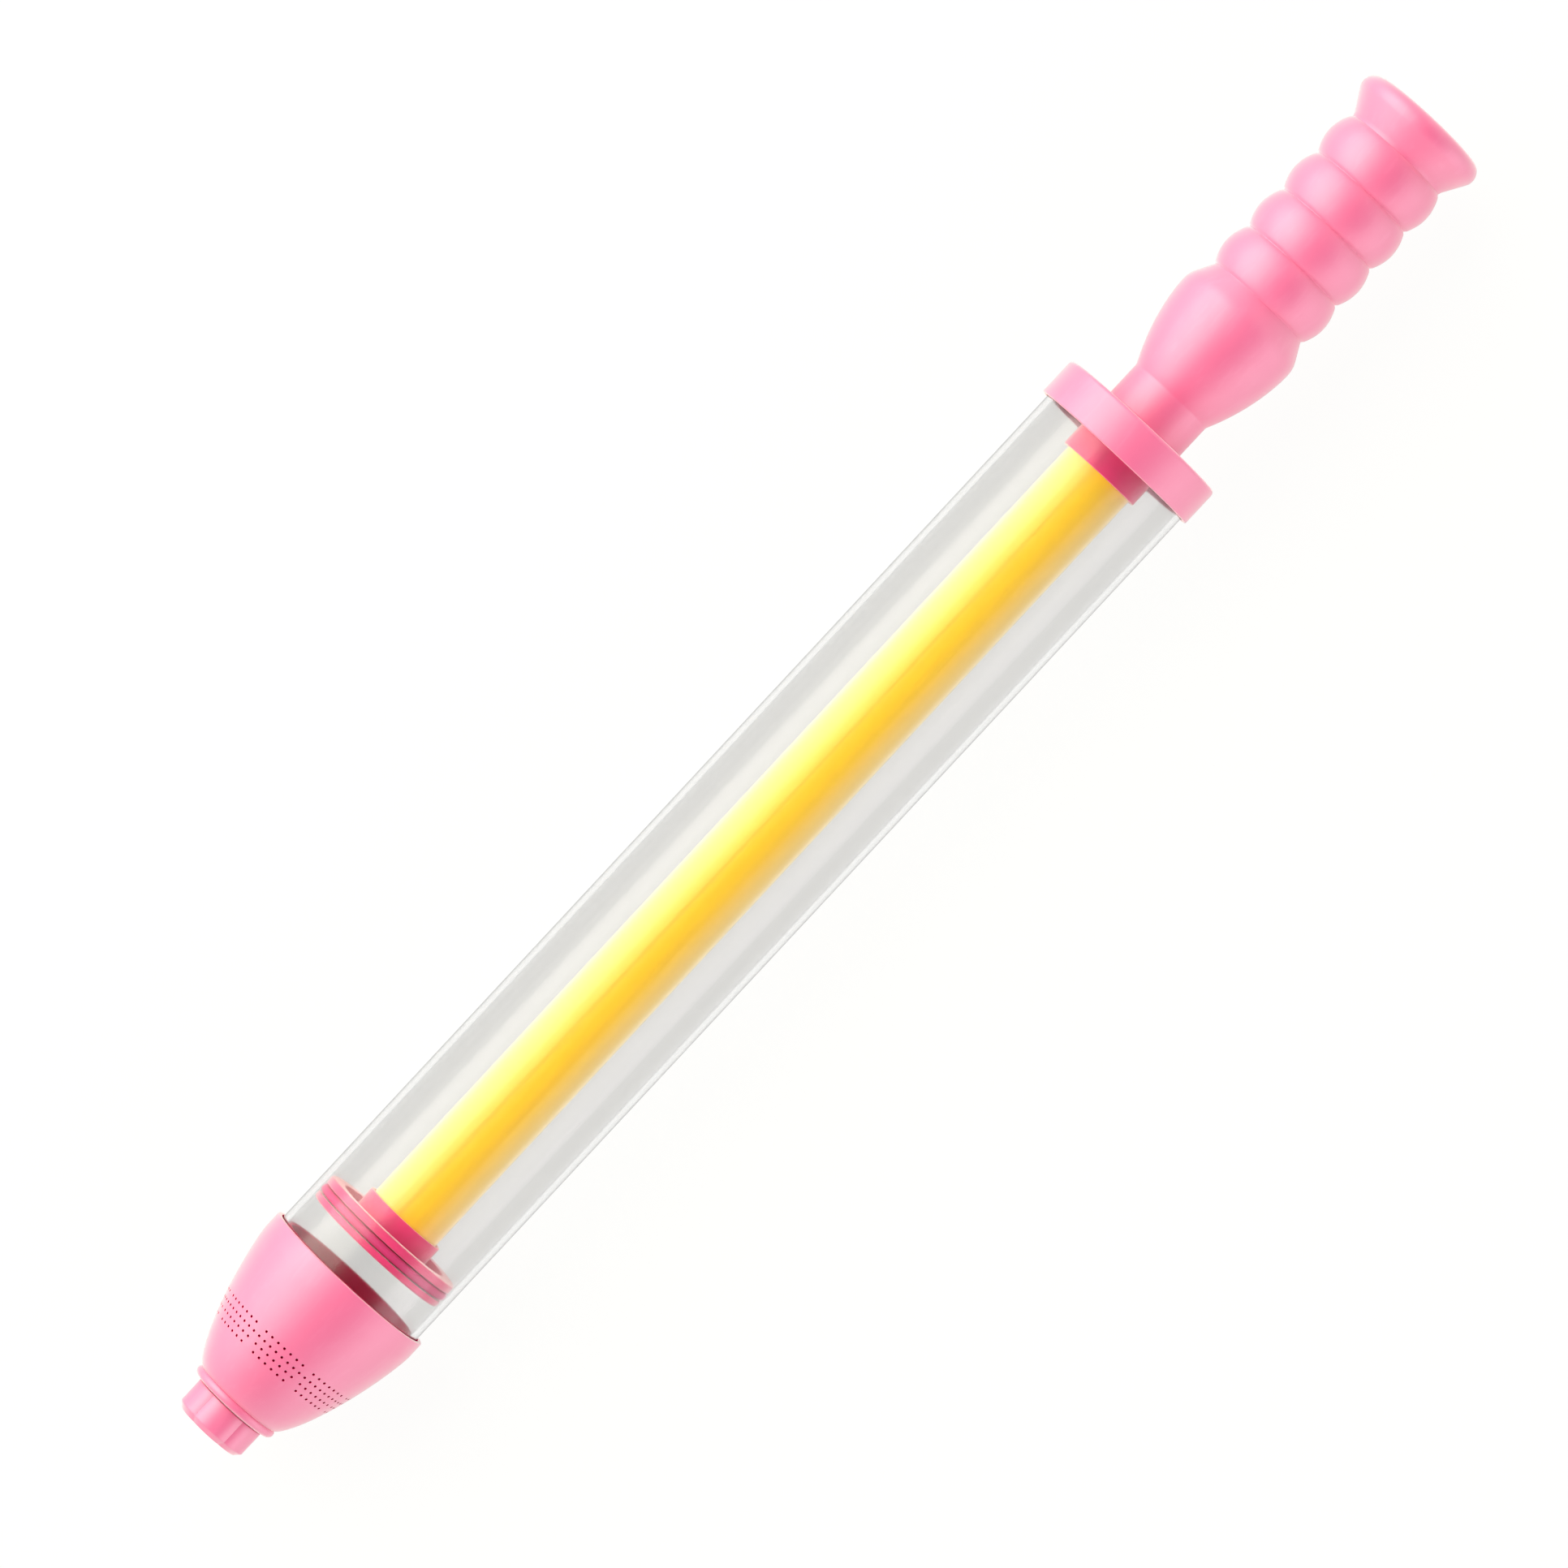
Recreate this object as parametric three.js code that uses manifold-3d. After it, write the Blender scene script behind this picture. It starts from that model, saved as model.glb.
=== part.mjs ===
// Water squirter: a clear barrel with a bullet-shaped nozzle, and a plunger with a ribbed grip.
// Millimetres, +Z up. Every piece is turned about one axis. Stations along the axis are counted from the
// spout's mouth towards the grip, and radii are measured from the axis. The finished part lies level on
// z = 0 with its axis along +X, the spout at -X and the grip at +X, and the plunger pushed fully in.
import * as THREE from "three";
import { mergeVertices } from "three/addons/utils/BufferGeometryUtils.js";
import Module from "manifold-3d";

const wasm = await Module();
wasm.setup();

// Driving dimensions: fits and facets
const FIT = 0.3; // gap between pieces that seat on, or slide in, each other
const SIDES = 32; // flats round a turned piece
const SCREW_SIDES = 12; // flats round a screw and its holes
const OGIVE_STEPS = 12; // facets along the nozzle cone
const OGIVE_CROWDING = 1.5; // crowds them towards the cone's front
const BEAD_STEPS = 6; // facets of the bead's section
const RING_STEPS = 12; // facets of the seal ring's section
const EDGE_STEPS = 4; // facets of the round on the cap's edge
const BULB_STEPS = 7; // facets along the grip's bulb, up to its ridge
const RIB_STEPS = 3; // facets on each side of a finger rib
const POMMEL_STEPS = 6; // facets of the round on the pommel's edge

// Driving dimensions: barrel tube
const TUBE_OD = 49.0;
const TUBE_WALL = 1.8;
const TUBE_IN_VIEW = 300.6; // clear stretch between the nozzle cone and the rear cap

// Driving dimensions: spout
const SPOUT_OD = 22.6;
const SPOUT_LENGTH = 9.2;
const SPOUT_CHAMFER = 1.6;
const SPOUT_LOBES = 6;
const LOBE_POINTS = 8; // outline points on each lobe
const FLUTE_DEPTH = 0.6; // how deep the flutes between the lobes are
const SPIGOT_OD = 17.0; // the spout's stem, inside the cone's front wall
const SPIGOT_PROUD = 1.5; // how far the stem reaches past the front wall
const JET_BORE = 6.5;
const MOUTH_BORE = 9.4; // the jet bore's flared front
const MOUTH_DEPTH = 3.0;
const INLET_BORE = 12.6; // the jet bore's flared back
const INLET_DEPTH = 3.2;
const SPOUT_SEAL_WIDTH = 1.7;
const SPOUT_SEAL_THICKNESS = 1.2;

// Driving dimensions: nozzle cone
const COLLAR_OD = 27.2; // the bead behind the spout
const COLLAR_BEAD = 1.4; // radius of the bead's section
const COLLAR_STEP = 0.6; // how far the cone starts below the bead
const FRONT_WALL = 3.0; // floor under the spout seal
const OGIVE_LENGTH = 39.0;
const OGIVE_FULLNESS = 1.3;
const OGIVE_BLUNTNESS = 0.7;
const RIM_BAND = 5.1; // straight band at the rim
const RIM_EDGE = 0.4; // small chamfer on moulded rims
const CONE_WALL = 2.4;
const CONE_SLEEVE_WALL = 1.4; // wall outside the tube's end
const CONE_SPIGOT_WALL = 1.2; // wall inside the tube's end
const CONE_SOCKET_DEPTH = 7.0; // slot that takes the tube's end
const GASKET_THICKNESS = 1.2;

// Driving dimensions: rear cap and rod guide
const CAP_THICKNESS = 11.5;
const CAP_SLEEVE_WALL = 1.4;
const CAP_END_WALL = 3.0;
const CAP_LIP = 1.2; // ring of the end wall that covers the bush
const CAP_HUB_WALL = 1.8; // tubular hub that holds the bush
const CAP_HUB_SETBACK = 1.0; // how far the hub stops inside the cap's front edge
const CAP_EDGE = 1.3; // round on the rear edge
const BUSH_WALL = 1.2;
const BUSH_REACH = 6.1; // length of bush in front of the cap

// Driving dimensions: plunger rod and its plugs
const ROD_OD = 22.0;
const ROD_WALL = 1.6;
const PLUG_LENGTH = 18.0;

// Driving dimensions: piston
const PISTON_GAP = 10.0; // from the nozzle cone's rim to the piston when pushed in
const PISTON_CLEARANCE = 0.5; // to the bore of the tube
const PISTON_FRONT_DISC = 2.0;
const PISTON_REAR_DISC = 2.4;
const PISTON_EDGE = 0.8;
const PISTON_FLOOR = 1.6; // floor of the rod's socket, under the screw head
const PISTON_BOSS_WALL = 1.0;
const PISTON_BOSS_LENGTH = 4.6;
const PISTON_RECESS_RIM = 1.9; // wall between the rear recess and the ring groove
const PISTON_RECESS_FLOOR = 3.2; // floor left in front of the rear recess
const RING_SECTION = 2.4;

// Driving dimensions: grip
const NECK_LENGTH = 10.6;
const NECK_WALL = 1.4;
const BULB_OD = 38.4;
const BULB_RISE_LENGTH = 27.4;
const BULB_FALL_LENGTH = 6.8; // straight cone behind the bulb's ridge
const RIBS = 4;
const RIB_PITCH = 13.45;
const RIB_OD = 35.4;
const NOTCH_OD = 31.6;
const POMMEL_OD = 40.2;
const POMMEL_LENGTH = 12.85;
const POMMEL_VALLEY = 1.0; // straight stretch before the flare
const POMMEL_EDGE = 3.8; // round on the pommel's edge
const GRIP_WALL = 2.3;
const GRIP_SOCKET_DEPTH = 27.0;
const GRIP_WEB = 3.0; // bulkhead that the screw pulls against
const END_PLUG_FLANGE = 2.0;
const END_PLUG_LAND = 2.4; // width of the seat round the end plug
const END_PLUG_SKIRT = 6.0;
const END_PLUG_SKIRT_WALL = 1.5;

// Driving dimensions: screws
const SCREW_SHANK = 3.8;
const SCREW_LENGTH = 15.0;
const SCREW_HEAD_OD = 7.6;
const SCREW_HEAD_HEIGHT = 2.2;
const SCREW_RECESS_WIDTH = 1.1;
const SCREW_RECESS_LENGTH = 4.4;
const SCREW_RECESS_DEPTH = 1.2;

// Radii that follow from the fits
const tubeOuter = TUBE_OD / 2;
const tubeBore = tubeOuter - TUBE_WALL;
const sleeveBore = tubeOuter + FIT;
const rimRadius = sleeveBore + CONE_SLEEVE_WALL;
const capRadius = sleeveBore + CAP_SLEEVE_WALL;
const coneSpigotOuter = tubeBore - FIT;
const chamberBore = coneSpigotOuter - CONE_SPIGOT_WALL;
const rodOuter = ROD_OD / 2;
const rodBore = rodOuter - ROD_WALL;
const rodSocket = rodOuter + FIT;
const plugRadius = rodBore - FIT;
const bushOuter = rodSocket + BUSH_WALL;
const neckRadius = rodSocket + NECK_WALL;
const bossRadius = rodSocket + PISTON_BOSS_WALL;
const pistonRadius = tubeBore - PISTON_CLEARANCE;
const ringOuter = tubeBore - FIT;
const ringInner = ringOuter - RING_SECTION;
const grooveRadius = ringInner - FIT;
const collarRadius = COLLAR_OD / 2;
const coneNeckRadius = collarRadius - COLLAR_STEP;
const spoutSpigot = SPIGOT_OD / 2;
const spigotHole = spoutSpigot + FIT;
const spoutSealOuter = spigotHole + SPOUT_SEAL_WIDTH;
const notchRadius = NOTCH_OD / 2;
const gripCore = notchRadius - GRIP_WALL;
const endPlugSeat = gripCore + END_PLUG_LAND;
const screwHole = SCREW_SHANK / 2 + FIT;
const screwHeadSeat = SCREW_HEAD_OD / 2 + FIT;

// Stations of the barrel
const collarFront = SPOUT_LENGTH + FIT;
const sealFloor = collarFront + SPOUT_SEAL_THICKNESS + FIT;
const chamberFront = sealFloor + FRONT_WALL;
const ogiveFront = collarFront + COLLAR_BEAD + Math.sqrt(COLLAR_BEAD ** 2 - (COLLAR_BEAD - COLLAR_STEP) ** 2);
const bandFront = ogiveFront + OGIVE_LENGTH;
const rim = bandFront + RIM_BAND;
const coneSlot = rim - CONE_SOCKET_DEPTH;
const gasketFront = coneSlot + FIT;
const tubeFront = gasketFront + GASKET_THICKNESS + FIT;
const capFront = rim + TUBE_IN_VIEW;
const capRear = capFront + CAP_THICKNESS;
const capFloor = capRear - CAP_END_WALL;
const tubeRear = capFloor - FIT;
const bushFront = capFront - BUSH_REACH;
const bushRear = capRear - CAP_LIP - FIT;

// Stations of the plunger
const pistonFront = rim + PISTON_GAP;
const grooveFront = pistonFront + PISTON_FRONT_DISC;
const grooveRear = grooveFront + RING_SECTION + 2 * FIT;
const pistonRear = grooveRear + PISTON_REAR_DISC;
const bossRear = pistonRear + PISTON_BOSS_LENGTH;
const screwSeat = pistonFront + SCREW_HEAD_HEIGHT + FIT;
const socketFloor = screwSeat + PISTON_FLOOR;
const rodFront = socketFloor + FIT;
const neckFront = capRear + FIT;
const bulbFront = neckFront + NECK_LENGTH;
const bulbPeak = bulbFront + BULB_RISE_LENGTH;
const ribsFront = bulbPeak + BULB_FALL_LENGTH;
const ribsRear = ribsFront + RIBS * RIB_PITCH;
const gripEnd = ribsRear + POMMEL_LENGTH;
const webFront = neckFront + GRIP_SOCKET_DEPTH;
const webRear = webFront + GRIP_WEB;
const rodRear = webFront - FIT;
const endPlugFloor = gripEnd - END_PLUG_FLANGE - FIT;

// How far the plunger pulls out before the piston's boss meets the guide bush
const STROKE = bushFront - bossRear - FIT;

// Materials
const plastic = (color, roughness) => new THREE.MeshStandardMaterial({ color, roughness, metalness: 0 });
const pinkPlastic = plastic(0xf58fb4, 0.42);
const deepPinkPlastic = plastic(0xe0508c, 0.45);
const yellowPlastic = plastic(0xfdc73e, 0.4);
const clearPlastic = new THREE.MeshStandardMaterial({
  color: 0xeef1f0,
  roughness: 0.08,
  metalness: 0,
  transparent: true,
  opacity: 0.25,
});
const sealRubber = plastic(0xc93a72, 0.6);
const gasketRubber = plastic(0x7a1434, 0.7);
const plugPlastic = plastic(0xf2ece2, 0.55);
const screwSteel = new THREE.MeshStandardMaterial({ color: 0xb9bcc0, roughness: 0.35, metalness: 1 });

// A profile is a list of [radius, station] corners, listed with the outside running towards the grip.
function turned(profile, sides = SIDES) {
  const points = profile.map(([radius, station]) => new THREE.Vector2(radius, station));
  return new THREE.LatheGeometry(points, sides, Math.PI / sides);
}

function turnedRing(profile, sides = SIDES) {
  return turned([...profile, profile[0]], sides);
}

function tube(inner, outer, front, rear, sides = SIDES) {
  return turnedRing(
    [
      [outer, front],
      [outer, rear],
      [inner, rear],
      [inner, front],
    ],
    sides,
  );
}

// Points of a round about a centre, from one angle to another; angle 0 points along the axis to the grip.
function round(centreRadius, centreStation, radius, from, to, steps) {
  return Array.from({ length: steps + 1 }, (_, i) => {
    const angle = from + ((to - from) * i) / steps;
    return [centreRadius + radius * Math.sin(angle), centreStation + radius * Math.cos(angle)];
  });
}

// A swelling that runs level where it ends, and its mirror image that runs level where it starts.
function rise(front, rear, steps) {
  return Array.from({ length: steps }, (_, i) => {
    const t = (i + 1) / steps;
    return [
      front[0] + (rear[0] - front[0]) * (1 - (1 - t) ** 2),
      front[1] + (rear[1] - front[1]) * t,
    ];
  });
}

function fall(front, rear, steps) {
  return Array.from({ length: steps }, (_, i) => {
    const t = (i + 1) / steps;
    return [front[0] + (rear[0] - front[0]) * t ** 2, front[1] + (rear[1] - front[1]) * t];
  });
}

// Solids for joining and cutting
function solid(geometry) {
  const bare = new THREE.BufferGeometry().setAttribute("position", geometry.getAttribute("position").clone());
  bare.setIndex(geometry.index);
  const merged = mergeVertices(bare, 1e-4);
  return new wasm.Manifold(
    new wasm.Mesh({
      numProp: 3,
      vertProperties: merged.getAttribute("position").array,
      triVerts: new Uint32Array(merged.index.array),
    }),
  );
}

function geometryOf(body) {
  const { vertProperties, triVerts } = body.getMesh();
  const geometry = new THREE.BufferGeometry();
  geometry.setAttribute("position", new THREE.BufferAttribute(vertProperties, 3));
  geometry.setIndex(new THREE.BufferAttribute(triVerts, 1));
  geometry.computeVertexNormals();
  return geometry;
}

function piece(name, geometry, material) {
  const mesh = new THREE.Mesh(geometry, material);
  mesh.name = name;
  return mesh;
}

// Spout: a lobed tip with a plain stem behind it and the jet bore through both.
function spoutOutline() {
  const count = SPOUT_LOBES * LOBE_POINTS;
  const outline = Array.from({ length: count }, (_, i) => {
    const angle = (2 * Math.PI * i) / count;
    const crease = 1 - Math.abs(Math.cos((SPOUT_LOBES / 2) * angle));
    const radius = SPOUT_OD / 2 - FLUTE_DEPTH * crease ** 2;
    return new THREE.Vector2(radius * Math.sin(angle), radius * Math.cos(angle));
  });
  return new THREE.Shape(outline);
}

function spoutTip() {
  const lobes = new THREE.ExtrudeGeometry(spoutOutline(), { depth: SPOUT_LENGTH, bevelEnabled: false });
  lobes.rotateX(-Math.PI / 2);
  const chamfered = turned([
    [0, 0],
    [SPOUT_OD / 2 - SPOUT_CHAMFER, 0],
    [SPOUT_OD / 2, SPOUT_CHAMFER],
    [SPOUT_OD / 2, SPOUT_LENGTH],
    [0, SPOUT_LENGTH],
  ]);
  const stemRear = chamberFront + SPIGOT_PROUD;
  const stem = turned([
    [0, SPOUT_LENGTH / 2],
    [spoutSpigot, SPOUT_LENGTH / 2],
    [spoutSpigot, stemRear],
    [0, stemRear],
  ]);
  const jet = turned([
    [0, -FIT],
    [MOUTH_BORE / 2, -FIT],
    [MOUTH_BORE / 2, 0],
    [JET_BORE / 2, MOUTH_DEPTH],
    [JET_BORE / 2, stemRear - INLET_DEPTH],
    [INLET_BORE / 2, stemRear],
    [INLET_BORE / 2, stemRear + FIT],
    [0, stemRear + FIT],
  ]);
  return geometryOf(solid(lobes).intersect(solid(chamfered)).add(solid(stem)).subtract(solid(jet)));
}

// Nozzle cone: radius of the outside at a share t of the ogive's length.
function ogiveRadius(t) {
  const swell = (1 - (1 - t) ** OGIVE_FULLNESS) ** OGIVE_BLUNTNESS;
  return coneNeckRadius + (rimRadius - coneNeckRadius) * swell;
}

function nozzleCone() {
  const shares = Array.from({ length: OGIVE_STEPS + 1 }, (_, i) => (i / OGIVE_STEPS) ** OGIVE_CROWDING);
  const beadEnd = Math.acos((ogiveFront - collarFront - COLLAR_BEAD) / COLLAR_BEAD);
  const beadMiddle = [collarRadius - COLLAR_BEAD, collarFront + COLLAR_BEAD];
  const bead = round(...beadMiddle, COLLAR_BEAD, Math.PI, beadEnd, BEAD_STEPS);
  const outside = shares.map((t) => [ogiveRadius(t), ogiveFront + t * OGIVE_LENGTH]);
  const inside = shares
    .map((t) => [Math.min(ogiveRadius(t) - CONE_WALL, chamberBore), ogiveFront + t * OGIVE_LENGTH])
    .filter(([, station]) => station > chamberFront + CONE_WALL / 2);
  const frontShare = (chamberFront - ogiveFront) / OGIVE_LENGTH;
  inside.unshift([ogiveRadius(Math.max(frontShare, 0)) - CONE_WALL, chamberFront]);
  return turnedRing([
    [spoutSealOuter + FIT, collarFront],
    ...bead,
    ...outside.slice(1),
    [rimRadius, rim - RIM_EDGE],
    [rimRadius - RIM_EDGE, rim],
    [sleeveBore, rim],
    [sleeveBore, coneSlot],
    [coneSpigotOuter, coneSlot],
    [coneSpigotOuter, rim],
    [chamberBore, rim],
    ...inside.reverse(),
    [spigotHole, chamberFront],
    [spigotHole, sealFloor],
    [spoutSealOuter + FIT, sealFloor],
  ]);
}

// Rear cap: a cup over the tube's end, with a hub inside that holds the guide bush.
function rearCap() {
  const hubFront = capFront + CAP_HUB_SETBACK;
  const hubBore = bushOuter + FIT;
  const hubOuter = hubBore + CAP_HUB_WALL;
  return turnedRing([
    [sleeveBore, capFront],
    [capRadius - RIM_EDGE, capFront],
    [capRadius, capFront + RIM_EDGE],
    ...round(capRadius - CAP_EDGE, capRear - CAP_EDGE, CAP_EDGE, Math.PI / 2, 0, EDGE_STEPS),
    [rodSocket, capRear],
    [rodSocket, capRear - CAP_LIP],
    [hubBore, capRear - CAP_LIP],
    [hubBore, hubFront],
    [hubOuter, hubFront],
    [hubOuter, capFloor],
    [sleeveBore, capFloor],
  ]);
}

// Piston: two discs with the seal's groove between them, a socket for the rod and a recess round it.
function pistonHead() {
  const recessOuter = grooveRadius - PISTON_RECESS_RIM;
  const recessFloor = pistonFront + PISTON_RECESS_FLOOR;
  return turnedRing([
    [screwHeadSeat, pistonFront],
    [pistonRadius - PISTON_EDGE, pistonFront],
    [pistonRadius, pistonFront + PISTON_EDGE],
    [pistonRadius, grooveFront],
    [grooveRadius, grooveFront],
    [grooveRadius, grooveRear],
    [pistonRadius, grooveRear],
    [pistonRadius, pistonRear],
    [recessOuter, pistonRear],
    [recessOuter, recessFloor],
    [bossRadius, recessFloor],
    [bossRadius, bossRear],
    [rodSocket, bossRear],
    [rodSocket, socketFloor],
    [screwHole, socketFloor],
    [screwHole, screwSeat],
    [screwHeadSeat, screwSeat],
  ]);
}

function sealRing() {
  const section = RING_SECTION / 2;
  const middle = grooveFront + FIT + section;
  return turned(round(ringOuter - section, middle, section, Math.PI, -Math.PI, RING_STEPS));
}

// Grip: neck, bulb, finger ribs and pommel outside; the rod's socket, a web and a cored end inside.
function gripOutside() {
  const bulbRadius = BULB_OD / 2;
  const points = [
    [neckRadius - RIM_EDGE, neckFront],
    [neckRadius, neckFront + RIM_EDGE],
    [neckRadius, bulbFront],
    ...rise([neckRadius, bulbFront], [bulbRadius, bulbPeak], BULB_STEPS),
    [notchRadius, ribsFront],
  ];
  for (let rib = 0; rib < RIBS; rib += 1) {
    const front = ribsFront + rib * RIB_PITCH;
    const crest = [RIB_OD / 2, front + RIB_PITCH / 2];
    points.push(...rise([notchRadius, front], crest, RIB_STEPS));
    points.push(...fall(crest, [notchRadius, front + RIB_PITCH], RIB_STEPS));
  }
  return points.concat(pommelOutside());
}

// The flare runs straight from the valley to a tangent of the round on the pommel's edge.
function pommelOutside() {
  const valley = [notchRadius, ribsRear + POMMEL_VALLEY];
  const centre = [POMMEL_OD / 2 - POMMEL_EDGE, gripEnd - POMMEL_EDGE];
  const toCentre = Math.hypot(centre[0] - valley[0], centre[1] - valley[1]);
  const slope =
    Math.atan2(centre[0] - valley[0], centre[1] - valley[1]) + Math.asin(POMMEL_EDGE / toCentre);
  return [valley, ...round(centre[0], centre[1], POMMEL_EDGE, slope + Math.PI / 2, 0, POMMEL_STEPS)];
}

function handleGrip() {
  return turnedRing([
    [rodSocket, neckFront],
    ...gripOutside(),
    [endPlugSeat, gripEnd],
    [endPlugSeat, endPlugFloor],
    [gripCore, endPlugFloor],
    [gripCore, webRear],
    [screwHole, webRear],
    [screwHole, webFront],
    [rodSocket, webFront],
  ]);
}

function endPlug() {
  const flangeRadius = endPlugSeat - FIT;
  const flangeFront = gripEnd - END_PLUG_FLANGE;
  const skirtOuter = gripCore - FIT;
  const skirtInner = skirtOuter - END_PLUG_SKIRT_WALL;
  return turned([
    [0, flangeFront],
    [skirtInner, flangeFront],
    [skirtInner, flangeFront - END_PLUG_SKIRT],
    [skirtOuter, flangeFront - END_PLUG_SKIRT],
    [skirtOuter, flangeFront],
    [flangeRadius, flangeFront],
    [flangeRadius, gripEnd],
    [0, gripEnd],
  ]);
}

// Screw with its head at the station `seat`; `towards` is +1 if it points to the grip, -1 to the spout.
function screw(seat, towards) {
  const headTop = -SCREW_HEAD_HEIGHT;
  const profile = [
    [0, headTop],
    [SCREW_RECESS_LENGTH / 2, headTop],
    [SCREW_HEAD_OD / 2, headTop + SCREW_HEAD_HEIGHT / 2],
    [SCREW_HEAD_OD / 2, 0],
    [SCREW_SHANK / 2, 0],
    [SCREW_SHANK / 2, SCREW_LENGTH - SCREW_SHANK],
    [0, SCREW_LENGTH],
  ];
  const slot = (width, length) => {
    const box = new THREE.BoxGeometry(width, 2 * SCREW_RECESS_DEPTH, length);
    return solid(box.translate(0, headTop, 0));
  };
  const body = solid(turned(profile, SCREW_SIDES))
    .subtract(slot(SCREW_RECESS_WIDTH, SCREW_RECESS_LENGTH))
    .subtract(slot(SCREW_RECESS_LENGTH, SCREW_RECESS_WIDTH));
  const geometry = geometryOf(body);
  if (towards < 0) geometry.rotateX(Math.PI);
  return geometry.translate(0, seat, 0);
}

// Barrel: what stays still in the hand that holds the tube
const barrel = new THREE.Group();
barrel.add(
  piece("spout_tip", spoutTip(), pinkPlastic),
  piece(
    "spout_seal",
    tube(spigotHole, spoutSealOuter, collarFront, collarFront + SPOUT_SEAL_THICKNESS),
    gasketRubber,
  ),
  piece("nozzle_cone", nozzleCone(), pinkPlastic),
  piece("cone_gasket", tube(tubeBore, tubeOuter, gasketFront, gasketFront + GASKET_THICKNESS), gasketRubber),
  piece("barrel_tube", tube(tubeBore, tubeOuter, tubeFront, tubeRear), clearPlastic),
  piece("rear_cap", rearCap(), pinkPlastic),
  piece("guide_bush", tube(rodSocket, bushOuter, bushFront, bushRear), deepPinkPlastic),
);

// Plunger: slides by STROKE along the axis and turns freely about it; the seal ring slides but needn't turn
const plunger = new THREE.Group();
plunger.userData.stroke = STROKE;
plunger.add(
  piece("piston_seal_ring", sealRing(), sealRubber),
  piece("piston_head", pistonHead(), deepPinkPlastic),
  piece("piston_screw", screw(screwSeat - FIT, 1), screwSteel),
  piece("rod_plug_front", tube(screwHole, plugRadius, rodFront, rodFront + PLUG_LENGTH), plugPlastic),
  piece("plunger_rod", tube(rodBore, rodOuter, rodFront, rodRear), yellowPlastic),
  piece("rod_plug_rear", tube(screwHole, plugRadius, rodRear - PLUG_LENGTH, rodRear), plugPlastic),
  piece("grip_screw", screw(webRear + FIT, -1), screwSteel),
  piece("handle_grip", handleGrip(), pinkPlastic),
  piece("grip_end_plug", endPlug(), pinkPlastic),
);

// The turned axis is laid along +X, at the height where the widest rim rests on its lowest flat.
const axis = new THREE.Group();
axis.add(barrel, plunger);
axis.rotation.z = -Math.PI / 2;
axis.position.set(-gripEnd / 2, 0, Math.max(rimRadius, capRadius) * Math.cos(Math.PI / SIDES));

const squirter = new THREE.Group();
squirter.add(axis);
export default squirter;
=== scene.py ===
"""Water squirter: the finished surfaces, materials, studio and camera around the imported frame.

Every piece built here is turned about one axis along X. A profile lists (station, radius) points, with the
station along X and the radius from the axis, and a surface carries that profile round the axis.
"""

import logging
import math
from collections.abc import Callable
from dataclasses import dataclass, field
from enum import Enum

import bpy
import numpy as np
from bpy.types import Material, Node, NodeSocket, Object, World
from mathutils import Matrix, Vector


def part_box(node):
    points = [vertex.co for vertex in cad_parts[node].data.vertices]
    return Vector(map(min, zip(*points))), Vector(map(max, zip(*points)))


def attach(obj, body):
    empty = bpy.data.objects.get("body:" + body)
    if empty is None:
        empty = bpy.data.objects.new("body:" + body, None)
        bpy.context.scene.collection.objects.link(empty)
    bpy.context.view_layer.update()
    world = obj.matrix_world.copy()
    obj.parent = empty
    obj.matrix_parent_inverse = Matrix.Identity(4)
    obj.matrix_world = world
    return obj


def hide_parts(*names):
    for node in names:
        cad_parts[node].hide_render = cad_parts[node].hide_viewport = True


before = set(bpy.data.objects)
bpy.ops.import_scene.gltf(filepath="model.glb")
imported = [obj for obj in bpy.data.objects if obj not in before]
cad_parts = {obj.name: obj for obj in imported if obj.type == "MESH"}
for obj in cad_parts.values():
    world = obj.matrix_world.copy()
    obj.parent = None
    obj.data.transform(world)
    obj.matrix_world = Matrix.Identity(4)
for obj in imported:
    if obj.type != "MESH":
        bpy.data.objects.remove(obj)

LOG = logging.getLogger("squirter")
Pair = tuple[float, float]
Colour = tuple[float, float, float]
Value = NodeSocket | float | tuple[float, ...]
Array = np.ndarray
Stretch = tuple[Array, Array]

# Sizes that several pieces share: the gap of a fit, an edge's round, the clear tube's wall, a screw hole
MM = 0.001
FIT = 0.3 * MM
EDGE = 0.3 * MM
TUBE_WALL = 1.8 * MM
SCREW_HOLE = 2.2 * MM


class Body(Enum):
    """The rigid bodies of the frame."""

    BARREL = "barrel"
    SEAL_RING = "seal_ring"
    PLUNGER = "plunger"


class Slot(Enum):
    """The record's material slots for the pieces built here."""

    PINK = "pink_plastic"
    # The record's slot deep_pink_plastic: the same pink as the rest, painted deeper as shade inside the
    # tube.
    SHADED_PINK = "deep_pink_plastic"
    CLEAR = "clear_plastic"
    YELLOW = "yellow_plastic"
    SEAL = "seal_rubber"


@dataclass(frozen=True)
class Span:
    """Where a node of the frame lies: its two ends along the axis, its outer radius and its axis' height."""

    front: float
    rear: float
    radius: float
    height: float

    @classmethod
    def of(cls, node: str) -> "Span":
        """Reads a node's span from its box."""
        low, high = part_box(node)
        return cls(low[0], high[0], (high[2] - low[2]) / 2, (high[2] + low[2]) / 2)


def span_of(node: str) -> Span:
    """A dataclass field that holds a node's span."""
    return field(default_factory=lambda: Span.of(node))


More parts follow.
